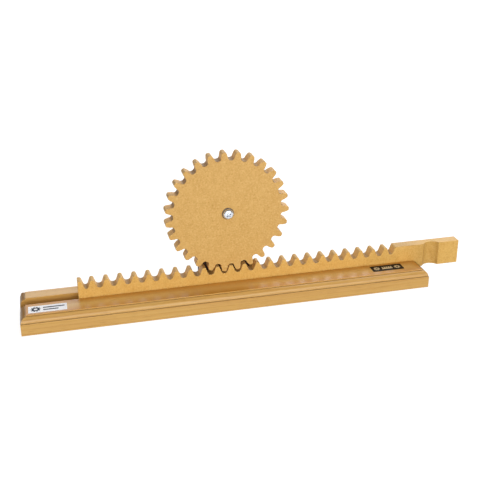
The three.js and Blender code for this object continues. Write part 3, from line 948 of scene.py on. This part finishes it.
def head_rows(radius, front, seat, edge=0.3):
    """A domed pan head from its crown to the underside's outer edge."""
    flat = 0.25 * (seat - front)
    dome = seat - front - flat
    steps, fullness = 14, 2.4
    rows = []
    for k in range(steps + 1):
        share = math.sin(math.pi / 2 * k / steps)
        drop = 1 - (1 - share ** fullness) ** (1 / fullness)
        rows.append((radius * share, front + dome * drop))
    return rows + [(radius, seat - edge), (radius - edge * 0.3, seat - edge * 0.3), (radius - edge, seat)]


def pivot_screw():
    """The axle: a pan head machine screw with a cross recess, threaded behind the pinion."""
    low, high = box_mm("pivot_screw")
    seat = box_mm("front_washer")[0].y - 0.15
    shank, end = SHANK_RADIUS, high.y

    def limit(y):
        return shank - max(0.0, y - (end - PIVOT_CHAMFER))

    rows = head_rows((high.x - low.x) / 2, low.y, seat)
    rows += [(shank + 0.2, seat), (shank, seat + 0.2), (shank, PIVOT_THREAD_START - 0.5)]
    rows += thread_rows(PIVOT_THREAD_START, end, shank, PIVOT_THREAD_ROOT, PIVOT_THREAD_PITCH, limit)
    rows.append((0, end))
    piece = turned_body(rows).make("pivot_screw_detail", [ZINC], transform=ON_AXLE)
    recess = cross_cutter(low.y, depth=2.6, span=6.0, width=1.3, turn=math.radians(33))
    return boolean(piece, recess.make("recess", [ZINC], transform=ON_AXLE))


place(pivot_screw(), "frame", "zinc_steel", "pivot_screw")


def washer(node, name, material=ZINC):
    """A flat washer with its edges broken."""
    low, high = box_mm(node)
    outer = (high.x - low.x) / 2
    corners = [(BORE_RADIUS, low.y), (outer, low.y), (outer, high.y), (BORE_RADIUS, high.y)]
    profile = rounded([(radius, y, WASHER_EASING) for radius, y in corners], 3)
    return turned_body([(p.x, p.y) for p in profile], 72, closed=True).make(name, [material], 40, ON_AXLE)


# The front washer takes the darkened steel: painted shade.
place(washer("front_washer", "front_washer_detail", SHADE_DARK_STEEL), "frame", "dull_steel", "front_washer")
place(washer("spacer_washer", "spacer_washer_detail"), "frame", "zinc_steel", "spacer_washer")
place(washer("rear_washer", "rear_washer_detail"), "frame", "zinc_steel", "rear_washer")


def nut():
    """A hexagon nut: its corners bevelled by a cone at both faces, its bore chamfered."""
    low, high = box_mm("pivot_nut")
    corner_radius = (high.x - low.x) / math.sqrt(3)
    hexagon = Body()
    outline = circle(corner_radius, 6, start=math.pi / 2)
    rings = [hexagon.ring([(p.x, y, p.y) for p in outline]) for y in (low.y, high.y)]
    hexagon.wall(*rings)
    hexagon.cap([rings[0]])
    hexagon.cap([rings[1]])
    piece = hexagon.make("pivot_nut_detail", [ZINC], transform=ON_AXLE)
    flat, bevel, outer = corner_radius * 0.84, 0.55, corner_radius + 0.1
    cone = [(0, low.y), (flat, low.y), (outer, low.y + bevel)]
    cone += [(outer, high.y - bevel), (flat, high.y), (0, high.y)]
    bevels = turned_body(cone, 96, start=math.radians(2)).make("bevels", [ZINC], transform=ON_AXLE)
    boolean(piece, bevels, "INTERSECT")
    past, chamfer = 1, 0.4
    mouth = BORE_RADIUS + past + chamfer
    bore = [(0, low.y - past), (mouth, low.y - past), (BORE_RADIUS, low.y + chamfer)]
    bore += [(BORE_RADIUS, high.y - chamfer), (mouth, high.y + past), (0, high.y + past)]
    return boolean(piece, turned_body(bore).make("bore", [ZINC], transform=ON_AXLE))


place(nut(), "frame", "zinc_steel", "pivot_nut")


def post_screw(node, name, turn):
    """A countersunk wood screw that points up through the board into the post."""
    low, high = box_mm(node)
    centre = (low + high) / 2
    head, shank = (high.x - low.x) / 2, POST_SCREW_RADIUS
    plain_end = low.z + POST_SCREW_PLAIN

    def limit(z):
        return max(0.05, shank * min(1.0, (high.z - z) / POST_SCREW_POINT))

    rows = [(0, low.z), (head - 0.15, low.z), (head, low.z + 0.15)]
    rows += [(shank, low.z + head - shank), (shank, plain_end)]
    rows += thread_rows(plain_end + 0.5, high.z - 0.1, shank, POST_SCREW_ROOT, POST_SCREW_PITCH, limit)
    rows.append((0, high.z))
    upright = Matrix.Translation((centre.x, centre.y, 0)) @ Matrix.Rotation(TAU / 4, 4, "X")
    piece = turned_body(rows, 48).make(name, [ZINC], transform=upright)
    recess = cross_cutter(low.z, depth=2.2, span=4.4, width=0.95, turn=turn)
    return boolean(piece, recess.make("recess", [ZINC], transform=upright))


for side, turn in (("left", math.radians(20)), ("right", math.radians(64))):
    screw = post_screw(f"post_screw_{side}", f"post_screw_{side}_detail", turn)
    place(screw, "frame", "zinc_steel", f"post_screw_{side}")


# ---- The stickers -----------------------------------------------------------------------------------------


def prism(body, loops, low_z, high_z, material=0):
    """A flat solid between two heights: an outline and its holes, given in x and y."""
    rings = [[body.ring([(p.x, p.y, z) for p in loop]) for loop in loops] for z in (low_z, high_z)]
    for lower, upper in zip(*rings):
        body.wall(lower, upper, material=material)
    for loops_at in rings:
        body.cap(loops_at, material)


def rectangle_outline(centre, width, depth, rounding):
    """A rectangle with rounded corners."""
    half_x, half_y = width / 2, depth / 2
    signs = ((-1, -1), (1, -1), (1, 1), (-1, 1))
    return rounded([(centre[0] + sx * half_x, centre[1] + sy * half_y, rounding) for sx, sy in signs], 4)


def gear_outline(centre, radius, teeth):
    """A small gear picture."""
    tooth = ((-0.3, 0.78), (-0.17, 1.0), (0.17, 1.0), (0.3, 0.78))  # shares of the pitch and of the radius
    places = [(k + share, radius * reach) for k in range(teeth) for share, reach in tooth]
    return [polar(centre, distance, TAU * pitches / teeth) for pitches, distance in places]


def toothed_strip(left, y, pitch, count, height):
    """A small rack picture that runs to the right of `left`."""
    crest, valley = y + height, y + height * 0.45
    tooth = ((0.88, valley), (0.66, crest), (0.34, crest), (0.12, valley))
    points = [Vector((left, y)), Vector((left + pitch * count, y))]
    for k in reversed(range(count)):
        points += [Vector((left + pitch * (k + share), level)) for share, level in tooth]
    return points


def sticker(node, name, slot, materials, draw):
    """A sticker with its printed picture as a thin layer of ink on top."""
    low, high = box_mm(node)
    bottom = low.z - STICKER_SINK
    top = bottom + FILM
    centre = (low + high) / 2
    body = Body()
    prism(body, [rectangle_outline(centre.xy, high.x - low.x, high.y - low.y, 0.8)], bottom, top)
    for loops in draw(centre, high - low):
        prism(body, loops, top - INK / 2, top + INK, material=1)
    place(body.make(name, materials), "frame", slot, node)


def gear_and_rules(centre, size):
    """A gear beside two ruled lines."""
    gear = (centre.x - size.x * 0.31, centre.y)
    yield [gear_outline(gear, size.y * 0.36, 10), circle(size.y * 0.13, 20, gear)[::-1]]
    for row, length in ((0.17, 0.56), (-0.17, 0.4)):
        left = centre.x - size.x * 0.12
        middle = (left + size.x * length / 2, centre.y + size.y * row)
        yield [rectangle_outline(middle, size.x * length, size.y * 0.15, 0.3)]


def rack_and_gears(centre, size):
    """A toothed strip between two gears."""
    for side in (-1, 1):
        gear = (centre.x + side * size.x * 0.33, centre.y)
        yield [gear_outline(gear, size.y * 0.27, 9), circle(size.y * 0.1, 16, gear)[::-1]]
    teeth = 5
    pitch = size.x * 0.34 / teeth
    yield [toothed_strip(centre.x - size.x * 0.17, centre.y - size.y * 0.2, pitch, teeth, size.y * 0.42)]


sticker("maker_label", "white_sticker", "white_vinyl", [WHITE_VINYL, BLUE_INK], gear_and_rules)
sticker("part_label", "black_sticker", "black_vinyl", [BLACK_VINYL, PALE_INK], rack_and_gears)


# ---- The studio -------------------------------------------------------------------------------------------

FLOOR_LEVEL = -0.2  # millimetres, like the next two
SCREEN_RADIUS = 6000.0
SCREEN_HEIGHT = 6000.0


def floor():
    """A large round pale sheet, and a tall screen that stands on its rim all round.

    Neither throws light back at the object, so that it doesn't glow from below, and neither casts a shadow.
    """
    outline = circle(SCREEN_RADIUS, 64)
    sheet, screen = Body(), Body()
    sheet.cap([sheet.ring([(p.x, p.y, FLOOR_LEVEL) for p in outline])])
    screen.walls([screen.ring([(p.x, p.y, z) for p in outline]) for z in (FLOOR_LEVEL, SCREEN_HEIGHT)])
    for name, body in (("floor", sheet), ("screen", screen)):
        piece = body.make(name, [light_table(f"pale {name}")])
        piece.data.transform(Matrix.Scale(MM, 4))
        piece.visible_diffuse = False
        piece.visible_glossy = name == "floor"
        piece.visible_shadow = False
        piece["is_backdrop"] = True


def area_light(name, location, target, size, power):
    """A rectangular soft light, in metres and watts, turned to its target."""
    data = bpy.data.lights.new(name, "AREA")
    data.shape = "RECTANGLE"
    data.size, data.size_y = size
    data.energy = power
    lamp = bpy.data.objects.new(name, data)
    lamp.location = location
    lamp.rotation_euler = (Vector(target) - Vector(location)).to_track_quat("-Z", "Y").to_euler()
    bpy.context.scene.collection.objects.link(lamp)


def camera():
    """The main view: from the front left, looking down at the board."""
    place_m = (-0.17893, -0.79670, 0.42076)
    yaw, tilt, roll = 0.23665, 0.40866, -0.00803  # radians
    data = bpy.data.cameras.new("main view")
    data.sensor_width = 36.0
    data.lens = 63.03
    data.clip_end = 100.0
    eye = bpy.data.objects.new("main view", data)
    aim = Matrix.Rotation(-yaw, 4, "Z") @ Matrix.Rotation(math.pi / 2 - tilt, 4, "X")
    eye.matrix_world = Matrix.Translation(place_m) @ aim @ Matrix.Rotation(roll, 4, "Z")
    bpy.context.scene.collection.objects.link(eye)
    bpy.context.scene.camera = eye


def studio():
    """The floor, an even white surround, a bright card behind for the varnish to mirror, and two lights."""
    floor()
    world = bpy.data.worlds.new("studio")
    world.use_nodes = True
    background = world.node_tree.nodes["Background"]
    background.inputs["Color"].default_value = (1.0, 1.0, 1.0, 1.0)
    background.inputs["Strength"].default_value = 0.35
    bpy.context.scene.world = world
    middle = (0.03, 0.0, 0.04)
    area_light("back card", (0.75, 2.0, 0.95), (0.0, 0.0, 0.2), (3.3, 1.4), 21.5)
    area_light("back right", (0.9, 1.0, 1.3), middle, (1.3, 1.0), 11)
    area_light("front", (0.06, -1.6, 0.58), middle, (2.0, 1.0), 22)
    bpy.context.scene.view_settings.view_transform = "Standard"


studio()
camera()

sizes = {"cad": CAD_BOUNDS, "visual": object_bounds()}
{name: [list(low), list(high)] for name, (low, high) in sizes.items()}
